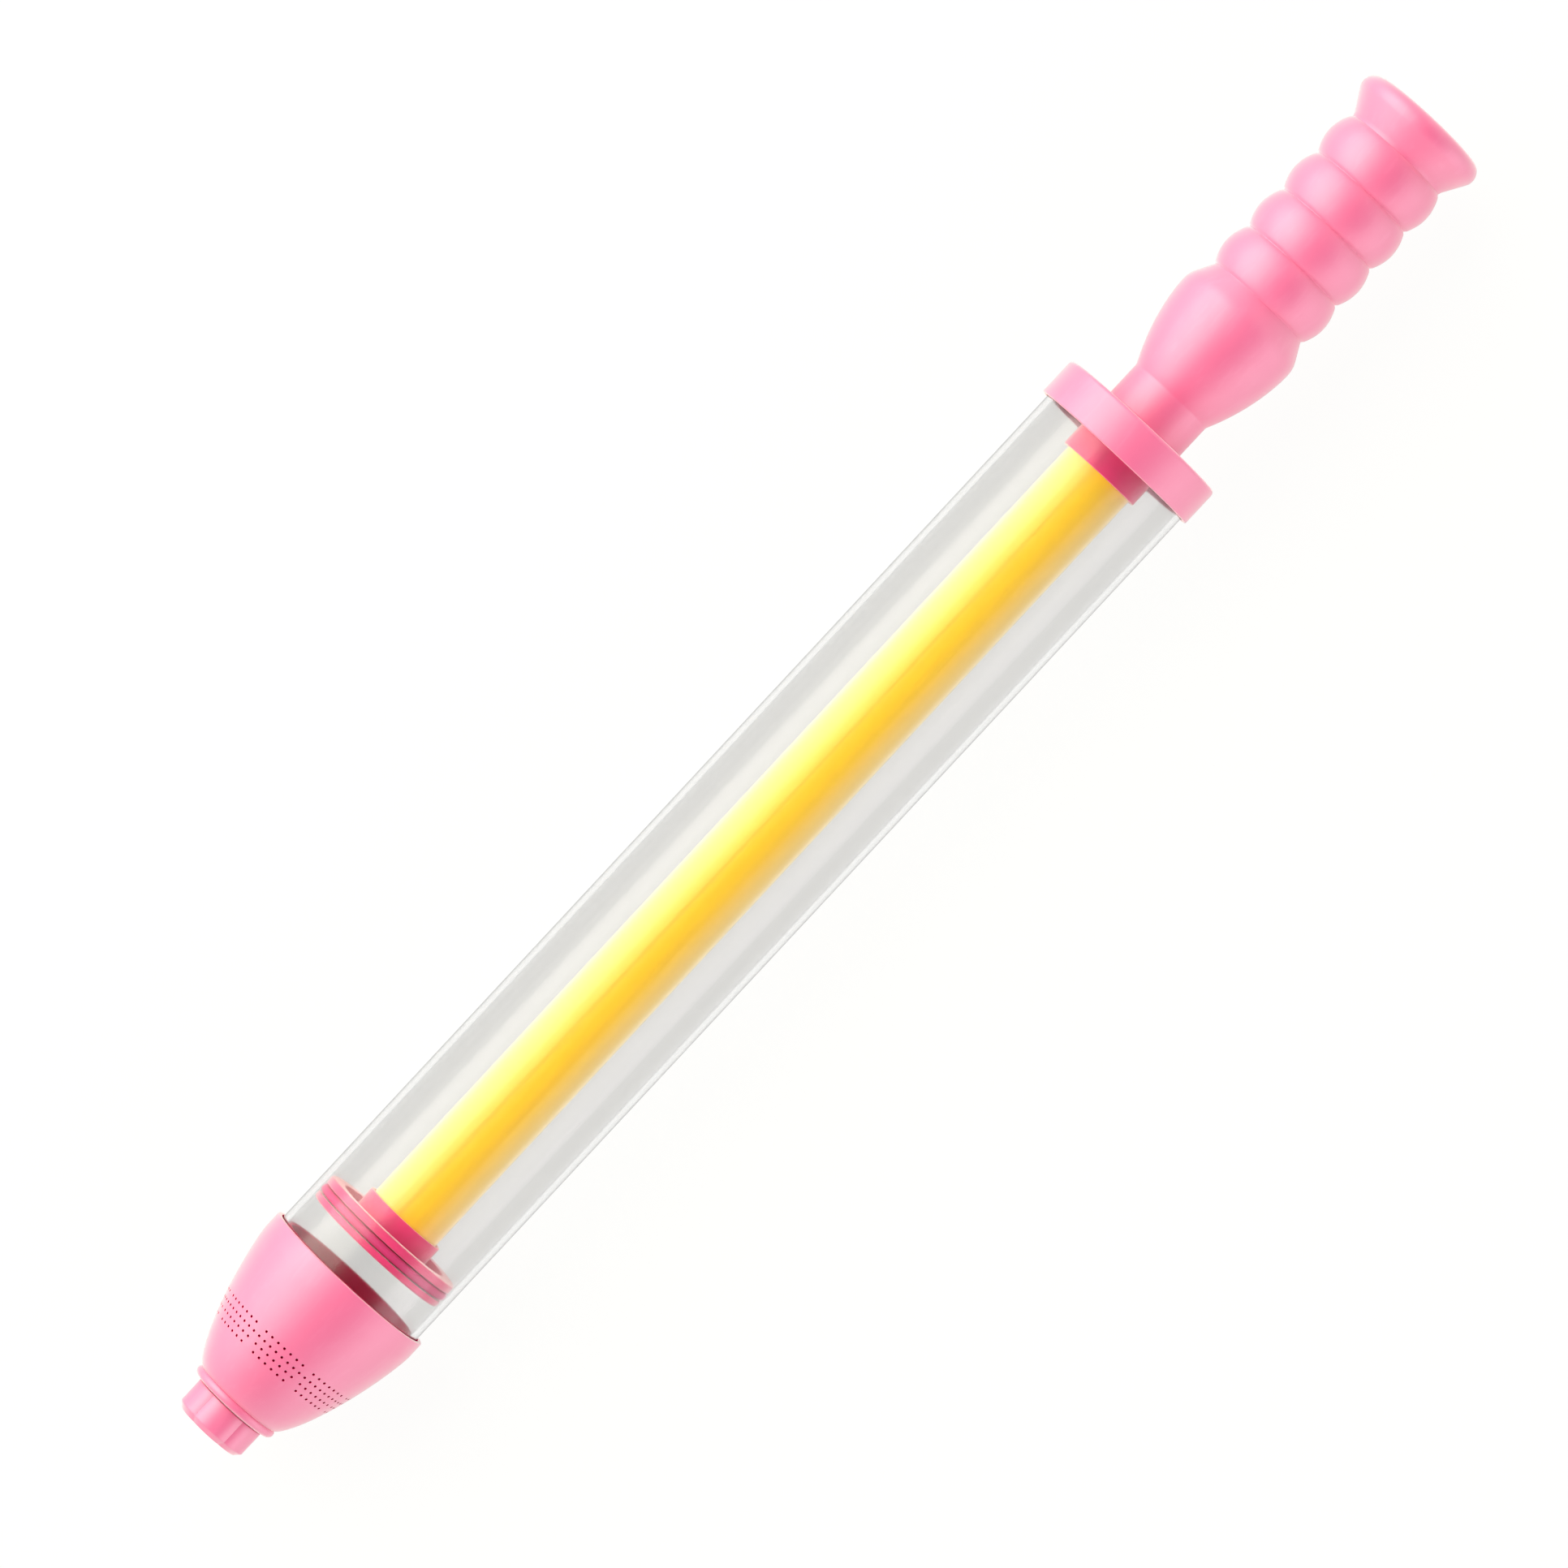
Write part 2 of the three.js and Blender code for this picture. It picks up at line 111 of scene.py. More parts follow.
class Profile:
    """A chain of corners and smooth stretches in the (station, radius) half-plane.

    The outside of a piece runs towards the grip, so that its faces point outwards. STEP is the turn between
    points of an arc, REACH the share of a side that an arc may take up, and SUPPORT the share of an arc's
    reach at which an extra point follows it.
    """

    STEP = math.radians(14)
    REACH = 0.49
    SUPPORT = 0.5

    def __init__(self) -> None:
        """Starts an empty chain."""
        self._points: list[tuple[float, ...]] = []

    def corners(self, *rows: tuple[float, ...]) -> "Profile":
        """Adds corners, each as its station, its radius and, where it is rounded, its round's radius."""
        self._points.extend((*row, 0.0)[:3] for row in rows)
        return self

    def through(self, stations: Array, radii: Array) -> "Profile":
        """Adds a smooth stretch through points that need no round."""
        return self.corners(*zip(stations, radii))

    def points(self) -> Array:
        """The chain as points, each filleted corner as an arc tangent to both of its sides.

        Returns:
            An array of (station, radius) rows. The chain closes on itself unless it ends on the axis.
        """
        chain = np.array(self._points)
        flat, fillets = chain[:, :2], chain[:, 2]
        before, after = np.roll(flat, 1, axis=0), np.roll(flat, -1, axis=0)
        stretches = [
            self._round(*corner) if corner[3] > 0 else corner[1][None, :]
            for corner in zip(before, flat, after, fillets)
        ]
        return np.concatenate(stretches)

    def _round(self, before: Array, corner: Array, after: Array, fillet: float) -> Array:
        """An arc in a corner: its centre lies on the corner's bisector and it turns by pi less the corner.

        A point on each side just beyond the arc keeps the normals of long sides true.

        Args:
            before: The point before the corner.
            corner: The corner itself.
            after: The point after the corner.
            fillet: The arc's radius.

        Returns:
            The arc's points.
        """
        back, on = before - corner, after - corner
        back_length, on_length = np.hypot(*back), np.hypot(*on)
        back, on = back / back_length, on / on_length
        half = math.acos(float(np.clip(back @ on, -1, 1))) / 2
        reach = min(fillet / math.tan(half), self.REACH * back_length, self.REACH * on_length)
        radius = reach * math.tan(half)
        middle = (back + on) / np.hypot(*(back + on))
        centre = corner + middle * radius / math.sin(half)
        start = corner + back * reach - centre
        turn = math.pi - 2 * half
        turn *= np.sign(back[1] * on[0] - back[0] * on[1])
        angles = turn * np.linspace(0, 1, max(2, math.ceil(abs(turn) / self.STEP)) + 1)
        cosine, sine = np.cos(angles), np.sin(angles)
        arc = centre + np.stack(
            [start[0] * cosine - start[1] * sine, start[0] * sine + start[1] * cosine], axis=1
        )
        beyond = reach + self.SUPPORT * reach
        outer_back = corner + back * min(beyond, (reach + back_length / 2) / 2)
        outer_on = corner + on * min(beyond, (reach + on_length / 2) / 2)
        return np.concatenate([outer_back[None, :], arc, outer_on[None, :]])


@dataclass
class Surface:
    """Vertices and faces of one piece, as whole arrays, and for each vertex whether its faces take the
    darker second material that paints shade.
    """

    CREASE = math.radians(32)

    vertices: Array
    faces: list[Array]
    shade_mask: Array | None = None

    def piece(self, name: str, *materials: Material) -> Object:
        """Puts the surface into a mesh object, smooth except at its creases.

        Args:
            name: The piece's name.
            materials: Its material, and a second, darker one that paints shade, for the faces whose vertices
                all lie in the mask.

        Returns:
            The new object.
        """
        loops = np.concatenate([f.ravel() for f in self.faces])
        used, loops = np.unique(loops, return_inverse=True)
        sizes = np.concatenate([np.full(len(f), f.shape[1]) for f in self.faces])
        mesh = bpy.data.meshes.new(name)
        mesh.vertices.add(len(used))
        mesh.vertices.foreach_set("co", self.vertices[used].astype(np.float32).ravel())
        mesh.loops.add(len(loops))
        mesh.loops.foreach_set("vertex_index", loops.astype(np.int32).ravel())
        mesh.polygons.add(len(sizes))
        mesh.polygons.foreach_set("loop_start", (np.cumsum(sizes) - sizes).astype(np.int32))
        for material in materials:
            mesh.materials.append(material)
        # Faces wholly on masked vertices take the second material, which paints shade.
        if self.shade_mask is not None:
            inside = np.concatenate([self.shade_mask[f].all(axis=1) for f in self.faces])
            mesh.polygons.foreach_set("material_index", inside.astype(np.int32))
        mesh.update(calc_edges=True)
        mesh.validate()
        mesh.shade_smooth()
        mesh.set_sharp_from_angle(angle=self.CREASE)
        made = bpy.data.objects.new(name, mesh)
        bpy.context.scene.collection.objects.link(made)
        return made


def around(stations: Array, radii: Array, angles: Array, height: float) -> Array:
    """Points as xyz rows: x = station, y = radius * sin(angle), z = height + radius * cos(angle)."""
    stations, radii, angles = np.broadcast_arrays(stations, radii, angles)
    return np.stack([stations, radii * np.sin(angles), height + radii * np.cos(angles)], axis=-1)


def quads(rows: int, columns: int, wrap_rows: bool) -> Array:
    """Faces of a grid whose columns close on themselves, with the first direction along the rows.

    Args:
        rows: Number of rows of vertices.
        columns: Number of columns of vertices.
        wrap_rows: True if the last row joins the first.

    Returns:
        An array of shape (rows of faces, columns, 4).
    """
    row = np.arange(rows if wrap_rows else rows - 1)[:, None]
    column = np.arange(columns)[None, :]
    row_on, column_on = (row + 1) % rows, (column + 1) % columns
    corners = [(row, column), (row_on, column), (row_on, column_on), (row, column_on)]
    return np.stack([np.broadcast_to(r * columns + c, (len(row), columns)) for r, c in corners], axis=-1)


def turned(
    profile: Array,
    height: float,
    columns: int = 128,
    shape: Callable[[Array, Array], Array] | None = None,
    shade_mask: Array | None = None,
) -> Surface:
    """A profile carried round the axis; a profile that starts on the axis is closed there by poles.

    Args:
        profile: Rows of (station, radius).
        height: The axis' height.
        columns: Number of steps round the axis.
        shape: Gives the radii as a grid from the profile's radii, as a column, and the angles, as a row.
        shade_mask: True for each point of the profile whose faces take the darker material that paints
            shade.

    Returns:
        The closed surface.
    """
    inside = None if shade_mask is None else np.repeat(shade_mask, columns)
    angles = 2 * np.pi * np.arange(columns)[None, :] / columns
    radii = profile[:, 1:2]
    grid_radii = radii if shape is None else shape(radii, angles)
    vertices = around(profile[:, :1], grid_radii, angles, height).reshape(-1, 3)
    on_axis = profile[0, 1] == 0
    faces = quads(len(profile), columns, wrap_rows=not on_axis)
    if not on_axis:
        return Surface(vertices, [faces.reshape(-1, 4)], inside)
    front, rear = faces[0], faces[-1]
    first, last = np.full(columns, front[0, 0]), np.full(columns, rear[0, 1])
    poles = [(first, front[:, 1], front[:, 2]), (rear[:, 0], last, rear[:, 3])]
    caps = np.concatenate([np.stack(pole, axis=1) for pole in poles])
    return Surface(vertices, [faces[1:-1].reshape(-1, 4), caps], inside)


def rise(start: Pair, end: Pair, steps: int) -> Stretch:
    """A parabola from start, which is left out, to end, where it is level: it rises as 1 - (1 - t) ^ 2."""
    share = np.arange(1, steps + 1) / steps
    return start[0] + (end[0] - start[0]) * share, start[1] + (end[1] - start[1]) * (1 - (1 - share) ** 2)


def closed(*corners: tuple[float, ...]) -> Array:
    """The points of a closed section, as rows of (station, radius), from its corners."""
    return Profile().corners(*corners).points()


def within(values: Array, low: float, high: float) -> Array:
    """True for the values between two others."""
    return (values > low) & (values < high)


def pipe(span: Span, bore: float, front_edge: float, rear_edge: float) -> Array:
    """The closed section of a plain pipe with rounded edges."""
    outside = ((span.front, span.radius, front_edge), (span.rear, span.radius, rear_edge))
    return closed(*outside, (span.rear, bore, rear_edge), (span.front, bore, front_edge))


def place(piece: Object, body: Body, slot: Slot, *nodes: str) -> None:
    """Rides a piece on its body, hides the nodes it stands for, and reports it.

    Args:
        piece: The finished piece.
        body: The body that carries it.
        slot: The record's material slot; not used.
        nodes: The nodes of the frame that it replaces.
    """
    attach(piece, body.value)
    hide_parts(*nodes)
    LOG.info("%s rides on %s and replaces %s", piece.name, body.value, ", ".join(nodes))


def dress(material: Material, *nodes: str) -> None:
    """Gives nodes that stay as they are their finish.

    Args:
        material: The finish.
        nodes: Names of the nodes.
    """
    for name in nodes:
        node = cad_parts[name]
        if not node.material_slots:
            node.data.materials.append(material)
        for slot in node.material_slots:
            slot.material = material
        LOG.info("%s keeps its solid, in %s", name, material.name)


class Tree:
    """A node tree, with short calls that make nodes and fill their inputs."""

    def __init__(self, owner: Material | World) -> None:
        """Turns on the nodes of a material or a world."""
        owner.use_nodes = True
        self._tree = owner.node_tree

    def join(self, value: Value, socket: NodeSocket) -> None:
        """Links a socket to an input, or sets the input's own value.

        Args:
            value: The socket or the value; a colour comes without its alpha.
            socket: The input.
        """
        if isinstance(value, NodeSocket):
            self._tree.links.new(value, socket)
        else:
            socket.default_value = (*value, 1.0) if socket.type == "RGBA" else value

    def fill(self, node: Node, inputs: dict[str, Value]) -> Node:
        """Fills a node's inputs.

        Args:
            node: The node.
            inputs: A socket or a value by input; an underscore in a name stands for a space.

        Returns:
            The node.
        """
        for name, value in inputs.items():
            self.join(value, node.inputs[name.replace("_", " ")])
        return node

    def node(self, kind: str, **inputs: Value) -> Node:
        """Makes a node of a kind, named without the prefix that all kinds share, and fills its inputs."""
        return self.fill(self._tree.nodes.new("ShaderNode" + kind), inputs)

    def end(self, name: str, **inputs: Value) -> None:
        """Fills the inputs of the node that a new tree already holds."""
        self.fill(self._tree.nodes[name], inputs)


class Shader(Tree):
    """A material's tree, with the nodes that the finishes share.

    The MIX numbers are the places of a colour mix's sockets, and FINE is a noise's share of finer octaves.
    """

    MIX_INPUTS, MIX_RESULT = (0, 6, 7), 2
    FINE = 0.55

    def __init__(self, name: str) -> None:
        """Makes a material with one Principled shader.

        Args:
            name: The material's name.
        """
        self.material = bpy.data.materials.new(name)
        super().__init__(self.material)
        self._coords = self.node("TexCoord").outputs["Object"]

    def set(self, **inputs: Value) -> None:
        """Fills the shader's own inputs."""
        self.end("Principled BSDF", **inputs)

    def noise(self, scale: float, detail: float, along: float = 1.0) -> NodeSocket:
        """Cloudy noise on the piece's own coordinates.

        Args:
            scale: Cells to a metre.
            detail: Octaves.
            along: Factor along the axis; under 1 draws the cells out along it.

        Returns:
            The noise, about 0.5 on average.
        """
        drawn = self.node("Mapping", Vector=self._coords, Scale=(along, 1.0, 1.0)).outputs["Vector"]
        clouds = self.node("TexNoise", Vector=drawn, Scale=scale, Detail=detail, Roughness=self.FINE)
        return clouds.outputs["Fac"]

    def spread(
        self, value: NodeSocket, low: float = 0.0, high: float = 1.0, source: Pair = (0.3, 0.7)
    ) -> NodeSocket:
        """Maps a value's own range, such as the middle of a noise, to another range."""
        ends = {"From_Min": source[0], "From_Max": source[1], "To_Min": low, "To_Max": high}
        return self.node("MapRange", Value=value, **ends).outputs["Result"]

    def mottle(self, low: float, high: float, scale: float, detail: float) -> None:
        """Feeds the shader's roughness with noise spread between two values."""
        self.set(Roughness=self.spread(self.noise(scale, detail), low, high))

    def blend(self, share: NodeSocket, first: Colour | NodeSocket, second: Colour) -> NodeSocket:
        """Mixes a second colour into a first.

        Args:
            share: How much of the second, from 0 to 1.
            first: A colour, or the socket of one.
            second: A colour.

        Returns:
            The mixed colour.
        """
        mix = self.node("Mix")
        mix.data_type = "RGBA"
        for place, value in zip(self.MIX_INPUTS, (share, first, second)):
            self.join(value, mix.inputs[place])
        return mix.outputs[self.MIX_RESULT]

    def rim(self, start: float, full: float) -> NodeSocket:
        """From 0 to 1 towards the outline, between two values of one less the cosine to the normal."""
        return self.spread(self.node("LayerWeight").outputs["Facing"], source=(start, full))

    def relief(self, *layers: tuple[NodeSocket, float]) -> None:
        """Stacks bumps and feeds the result to the shader's normal.

        Args:
            layers: A height and its depth in metres for each bump.
        """
        below = {}
        for height, depth in layers:
            bump = self.node("Bump", Strength=1.0, Distance=depth, Height=height, **below)
            below = {"Normal": bump.outputs["Normal"]}
        self.set(**below)


@dataclass(frozen=True)
class Finish:
    """A named finish, which each kind paints in its own way."""

    name: str

    def paint(self, shader: Shader) -> None:
        """Sets up the new material's shader."""
        raise NotImplementedError

    def material(self) -> Material:
        """Builds the finish.

        Returns:
            The material.
        """
        shader = Shader(self.name)
        self.paint(shader)
        return shader.material


@dataclass(frozen=True)
class MouldedPlastic(Finish):
    """Satin moulded plastic: faint clouds of pigment, a fine mould grain and light scuffs."""

    colour: Colour
    cloud: Colour
    scuff: Colour
    roughness: float = 0.5
    coat: float = 1.0
    sheen: float = 0.6
    gloss: float = 0.5

    def paint(self, shader: Shader) -> None:
        """Sets up the shader.

        Args:
            shader: The new material's shader.
        """
        clouds = shader.blend(shader.spread(shader.noise(scale=38, detail=5)), self.colour, self.cloud)
        scuffs = shader.spread(shader.noise(scale=420, detail=3, along=0.18), low=-0.5, high=0.35)
        shader.set(Base_Color=shader.blend(scuffs, clouds, self.scuff))
        shader.mottle(self.roughness - 0.05, self.roughness + 0.06, scale=160, detail=4)
        waves, grain = shader.noise(scale=55, detail=3), shader.noise(scale=1900, detail=2)
        shader.relief((waves, 0.12 * MM), (grain, 0.012 * MM))
        shader.set(IOR=1.6, Specular_IOR_Level=self.gloss)
        shader.set(Coat_Weight=self.coat, Coat_Roughness=0.57, Coat_IOR=2.1)
        shader.set(Sheen_Weight=self.sheen, Sheen_Roughness=0.45, Sheen_Tint=(1.0, 0.99, 0.9))


@dataclass(frozen=True)
class ExtrudedPlastic(Finish):
    """Satin extruded plastic: faint lines drawn out along the axis, and a painted sheen that pales the
    colour towards its outline.
    """

    colour: Colour
    line: Colour
    # The pale colour of the painted sheen at the outline.
    edge: Colour
    roughness: float = 0.42
    coat: float = 0.38
    sheen: float = 1.0

    def paint(self, shader: Shader) -> None:
        """Sets up the shader.

        Args:
            shader: The new material's shader.
        """
        lines = shader.noise(scale=700, detail=3, along=0.012)
        wall = shader.blend(shader.spread(lines), self.colour, self.line)
        # Painted sheen: the colour turns to the pale edge colour as the surface turns away from the view.
        shader.set(Base_Color=shader.blend(shader.rim(start=0.1, full=0.95), wall, self.edge))
        shader.mottle(self.roughness - 0.05, self.roughness + 0.05, scale=90, detail=4)
        shader.relief((lines, 0.02 * MM), (shader.noise(scale=45, detail=3, along=0.2), 0.1 * MM))
        shader.set(IOR=1.52, Coat_Weight=self.coat, Coat_Roughness=0.44, Coat_IOR=1.6)
        shader.set(Sheen_Weight=self.sheen, Sheen_Roughness=0.3)


@dataclass(frozen=True)
class ClearPlastic(Finish):
    """Clear extruded tube: nearly colourless, with faint draw lines, a soft veil on its surface and a
    painted dark outline where it turns away from the view.
    """

    tint: Colour
    line: Colour
    # The colour of the painted dark outline: partly the wall's longer path, partly painted shade for the
    # dark edge line.
    rim: Colour
    veil: float
    roughness: float = 0.07
    gloss: float = 0.12

    def paint(self, shader: Shader) -> None:
        """Sets up the shader.

        Args:
            shader: The new material's shader.
        """
        lines = shader.noise(scale=260, detail=3, along=0.006)
        wall = shader.blend(shader.spread(lines), self.tint, self.line)
        # Painted shade at the outline: the tint turns to the dark rim colour at grazing angles, standing in
        # for the dark edge line as well as the wall's longer path.
        shader.set(Base_Color=shader.blend(shader.rim(start=0.79, full=0.87), wall, self.rim))
        shader.relief((lines, 0.002 * MM))
        shader.set(Transmission_Weight=1.0, IOR=1.4, Roughness=self.roughness)
        shader.set(Specular_Tint=(self.gloss, self.gloss, self.gloss))
        shader.set(Coat_Weight=self.veil, Coat_Roughness=0.34, Coat_IOR=2.1)


@dataclass(frozen=True)
class SoftRubber(Finish):
    """Soft seal rubber: matt, with a fine skin."""

    colour: Colour
    bloom: Colour

    def paint(self, shader: Shader) -> None:
        """Sets up the shader.

        Args:
            shader: The new material's shader.
        """
        bloom = shader.spread(shader.noise(scale=240, detail=4), high=0.8)
        shader.set(Base_Color=shader.blend(bloom, self.colour, self.bloom))
        shader.mottle(low=0.5, high=0.64, scale=500, detail=3)
        shader.relief((shader.noise(scale=1500, detail=3), 0.02 * MM))
        shader.set(IOR=1.5)


@dataclass(frozen=True)
class PlatedSteel(Finish):
    """Zinc-plated steel with a fine, uneven grain."""

    colour: Colour
    tarnish: Colour

    def paint(self, shader: Shader) -> None:
        """Sets up the shader.

        Args:
            shader: The new material's shader.
        """
        tarnish = shader.spread(shader.noise(scale=350, detail=5))
        shader.set(Base_Color=shader.blend(tarnish, self.colour, self.tarnish))
        shader.mottle(low=0.26, high=0.42, scale=900, detail=3)
        shader.relief((shader.noise(scale=2400, detail=2), 0.01 * MM))
        shader.set(Metallic=1.0)


def made_of(kind: type[Finish], name: str, *colours: Colour, **numbers: float) -> Material:
    """A dataclass field that holds a finish's material."""
    return field(default_factory=kind(name, *colours, **numbers).material)


# Matt settings for the painted-shade copies: no coat, sheen or gloss, so that no reflection lightens the
# painted shade.
MATT = {"roughness": 0.6, "coat": 0.0, "sheen": 0.0, "gloss": 0.0}


@dataclass(frozen=True)
class Finishes:
    """The squirter's materials."""

    pink: Material = made_of(
        MouldedPlastic, "pink_moulding",
        (0.75, 0.066, 0.228), (0.73, 0.053, 0.208), (0.77, 0.102, 0.272), sheen=0.9,
    )
    # Painted shade: a darker, matt copy of the pink for the cone's chamber, the cap's inside and the pits,
    # standing in for the shade that falls inside them.
    pink_recess_shade: Material = made_of(
        MouldedPlastic, "pink_recess_shade", (0.6, 0.0, 0.08), (0.55, 0.0, 0.07), (0.65, 0.0, 0.09), **MATT
    )
    # Painted shade: the piston and the bush are the same pink as the rest; this deeper, more saturated copy
    # stands in for the dimmer light inside the clear tube.
    shaded_pink: Material = made_of(
        MouldedPlastic, "shaded_pink_moulding",
        (0.86, 0.004, 0.16), (0.82, 0.002, 0.14), (0.9, 0.02, 0.2), coat=0.35, sheen=1.0, gloss=0.15,
    )
    # Painted shade: a darker, matt copy of the piston's pink for its groove and the recess behind it.
    piston_recess_shade: Material = made_of(
        MouldedPlastic, "piston_recess_shade",
        (0.36, 0.006, 0.06), (0.33, 0.005, 0.05), (0.4, 0.01, 0.075), **MATT,
    )
    # The third colour is the painted sheen's pale edge.
    yellow: Material = made_of(
        ExtrudedPlastic, "yellow_tube", (0.998, 0.57, 0.002), (0.998, 0.605, 0.004), (1.0, 0.85, 0.42)
    )
    # The third colour of each clear finish is its painted dark outline.
    clear: Material = made_of(
        ClearPlastic, "clear_tube", (0.97, 0.97, 0.965), (0.95, 0.95, 0.945), (0.06, 0.06, 0.06), veil=0.39
    )
    # The bore's darker tint is partly the plastic's own tint and partly painted shade: it greys what is seen
    # through the tube, in place of the tube's shadow on the glowing floor.
    bore_tint_and_shade: Material = made_of(
        ClearPlastic, "bore_tint_and_shade", (0.69, 0.685, 0.68), (0.65, 0.645, 0.64), (0.3, 0.3, 0.3), veil=0.0
    )
    seal: Material = made_of(SoftRubber, "seal_rubber", (0.66, 0.012, 0.15), (0.72, 0.025, 0.18))
    gasket: Material = made_of(SoftRubber, "gasket_rubber", (0.2, 0.008, 0.035), (0.25, 0.014, 0.05))
    plug: Material = made_of(
        MouldedPlastic, "plug_moulding",
        (0.86, 0.81, 0.72), (0.83, 0.77, 0.67), (0.9, 0.86, 0.78), coat=0.1, sheen=0.1,
    )
    steel: Material = made_of(PlatedSteel, "plated_screw", (0.62, 0.64, 0.66), (0.5, 0.51, 0.52))


@dataclass
class Spout:
    """The lobed spout: a chamfered tip with six lobes, a stem behind it and the jet bore through both."""

    tip: Span = span_of("spout_tip")
    cone: Span = span_of("nozzle_cone")
    chamfer: float = 1.6 * MM
    edge: float = 0.35 * MM
    soft_edge: float = 0.7 * MM
    lobes: int = 6
    flute_depth: float = 0.6 * MM
    stem_radius: float = 8.5 * MM
    jet_radius: float = 3.25 * MM
    mouth_radius: float = 4.7 * MM
    mouth_depth: float = 3.0 * MM
    inlet_radius: float = 6.3 * MM
    inlet_depth: float = 3.2 * MM
    columns: int = 144

    def profile(self) -> Array:
        """The spout's closed section through the middle of a lobe.

        Returns:
            Rows of (station, radius).
        """
        front, rear, outer = self.tip.front, self.tip.rear, self.tip.radius
        shoulder = self.cone.front - FIT
        return closed(
            (front, self.mouth_radius, self.edge), (front, outer - self.chamfer, self.edge),
            (front + self.chamfer, outer, self.soft_edge), (shoulder, outer, self.edge),
            (shoulder, self.stem_radius), (rear, self.stem_radius, self.edge),
            (rear, self.inlet_radius, self.edge), (rear - self.inlet_depth, self.jet_radius, self.edge),
            (front + self.mouth_depth, self.jet_radius, self.soft_edge),
        )

    def fluted(self, radii: Array, angles: Array) -> Array:
        """Sinks flutes between the lobes, as the square of one less |cos(lobes / 2 * angle)|.

        Args:
            radii: The section's radii, as a column.
            angles: Angles round the axis, as a row.

        Returns:
            The grid of radii; the flutes run out inside the stem's radius.
        """
        crease = (1 - np.abs(np.cos(self.lobes / 2 * angles))) ** 2
        land = self.tip.radius - self.chamfer - self.stem_radius
        return radii - self.flute_depth * crease * np.clip((radii - self.stem_radius) / land, 0, 1)

    def build(self, finishes: Finishes) -> None:
        """Makes and places the spout."""
        surface = turned(self.profile(), self.tip.height, self.columns, self.fluted)
        place(surface.piece("spout", finishes.pink), Body.BARREL, Slot.PINK, "spout_tip")


@dataclass(frozen=True)
class PitRow:
    """One ring of spray pits on the cone: its station, and the pits and their pitch in each sector."""

    station: float
    pits: int
    pitch: float


@dataclass
class NozzleCone:
    """The bullet-shaped cone: a bead in front, an ogive with rings of spray pits, and a rim over the tube.

    RINGS are the rings of vertices at a row of pits, in half cells from its middle. SIDES are a pit's sides,
    one for each vertex on the border of the 2 by 2 block of faces that it opens.
    """

    RINGS = (-1, 0, 1)
    SIDES = 8

    tip: Span = span_of("spout_tip")
    cone: Span = span_of("nozzle_cone")
    tube: Span = span_of("barrel_tube")
    seal: Span = span_of("spout_seal")
    bead_radius: float = 1.4 * MM
    bead_steps: int = 14
    collar_radius: float = 13.6 * MM
    collar_step: float = 0.6 * MM
    ogive_length: float = 39.0 * MM
    fullness: float = 1.3
    bluntness: float = 0.7
    front_steps: int = 14
    front_crowding: float = 1.5
    rear_steps: int = 16
    wall: float = 2.4 * MM
    socket_depth: float = 7.0 * MM
    inner_wall: float = 1.2 * MM
    stem_hole: float = 8.8 * MM
    floor: float = 3.0 * MM
    chamber_steps: int = 24
    edge: float = 0.25 * MM
    rim_edge: float = 0.4 * MM
    sectors: int = 8
    cells: int = 8
    pit_radius: float = 0.4 * MM
    pit_depth: float = 1.5 * MM
    pit_taper: float = 0.82
    pit_half_cell: float = 0.84 * MM
    slope_probe: float = 0.1 * MM
    rows: tuple[PitRow, ...] = (
        PitRow(25.65 * MM, 6, math.radians(6.3)),
        PitRow(27.85 * MM, 7, math.radians(6.05)),
        PitRow(30.05 * MM, 8, math.radians(5.625)),
        PitRow(32.3 * MM, 7, math.radians(5.75)),
    )

    @property
    def ogive_front(self) -> float:
        """Station where the ogive leaves the bead."""
        drop = self.bead_radius - self.collar_step
        return self.cone.front + self.bead_radius + math.sqrt(self.bead_radius**2 - drop**2)

    @property
    def ogive_rear(self) -> float:
        """Station where the ogive meets the straight rim."""
        return self.ogive_front + self.ogive_length

    @property
    def columns(self) -> int:
        """Number of columns of vertices, two to a cell."""
        return 2 * self.sectors * self.cells

    def outer(self, stations: Array | float) -> Array | float:
        """The ogive's radius: neck + swell * (1 - (1 - t) ^ fullness) ^ bluntness, t along its length.

        Args:
            stations: Places along the axis.

        Returns:
            The radii.
        """
        share = np.clip((stations - self.ogive_front) / self.ogive_length, 0, 1)
        neck = self.collar_radius - self.collar_step
        return neck + (self.cone.radius - neck) * (1 - (1 - share) ** self.fullness) ** self.bluntness

    def pit_rings(self) -> Array:
        """Stations of the rings of vertices at the rows of pits, one row of pits to a row."""
        middles = self.tip.front + np.array([row.station for row in self.rows])
        return middles[:, None] + self.pit_half_cell * np.array(self.RINGS)

    def outside_stations(self) -> Array:
        """Stations of all of the ogive's rings; those in front of the pits crowd towards the bead.

        Returns:
            The stations in order.
        """
        rings = self.pit_rings().ravel()
        share = (np.arange(1, self.front_steps) / self.front_steps) ** self.front_crowding
        front = self.ogive_front + (rings[0] - self.ogive_front) * share
        rear = np.linspace(rings[-1], self.ogive_rear, self.rear_steps)[1:]
        return np.concatenate([front, rings, rear])

    def bead(self) -> Stretch:
        """The bead's arc from its front to where the ogive starts.

        Returns:
            Stations and radii.
        """
        end = math.acos((self.ogive_front - self.cone.front) / self.bead_radius - 1)
        angles = np.linspace(math.pi, end, self.bead_steps)
        stations = self.cone.front + self.bead_radius + self.bead_radius * np.cos(angles)
        return stations, self.collar_radius - self.bead_radius + self.bead_radius * np.sin(angles)

    def inside(self) -> Stretch:
        """The chamber's wall from its mouth to its front floor, a wall's thickness inside the ogive.

        Returns:
            Stations and radii.
        """
        bore = self.tube.radius - TUBE_WALL - FIT - self.inner_wall
        floor = self.seal.rear + FIT + self.floor
        stations = np.linspace(self.ogive_rear, floor, self.chamber_steps)
        return stations, np.minimum(self.outer(stations) - self.wall, bore)

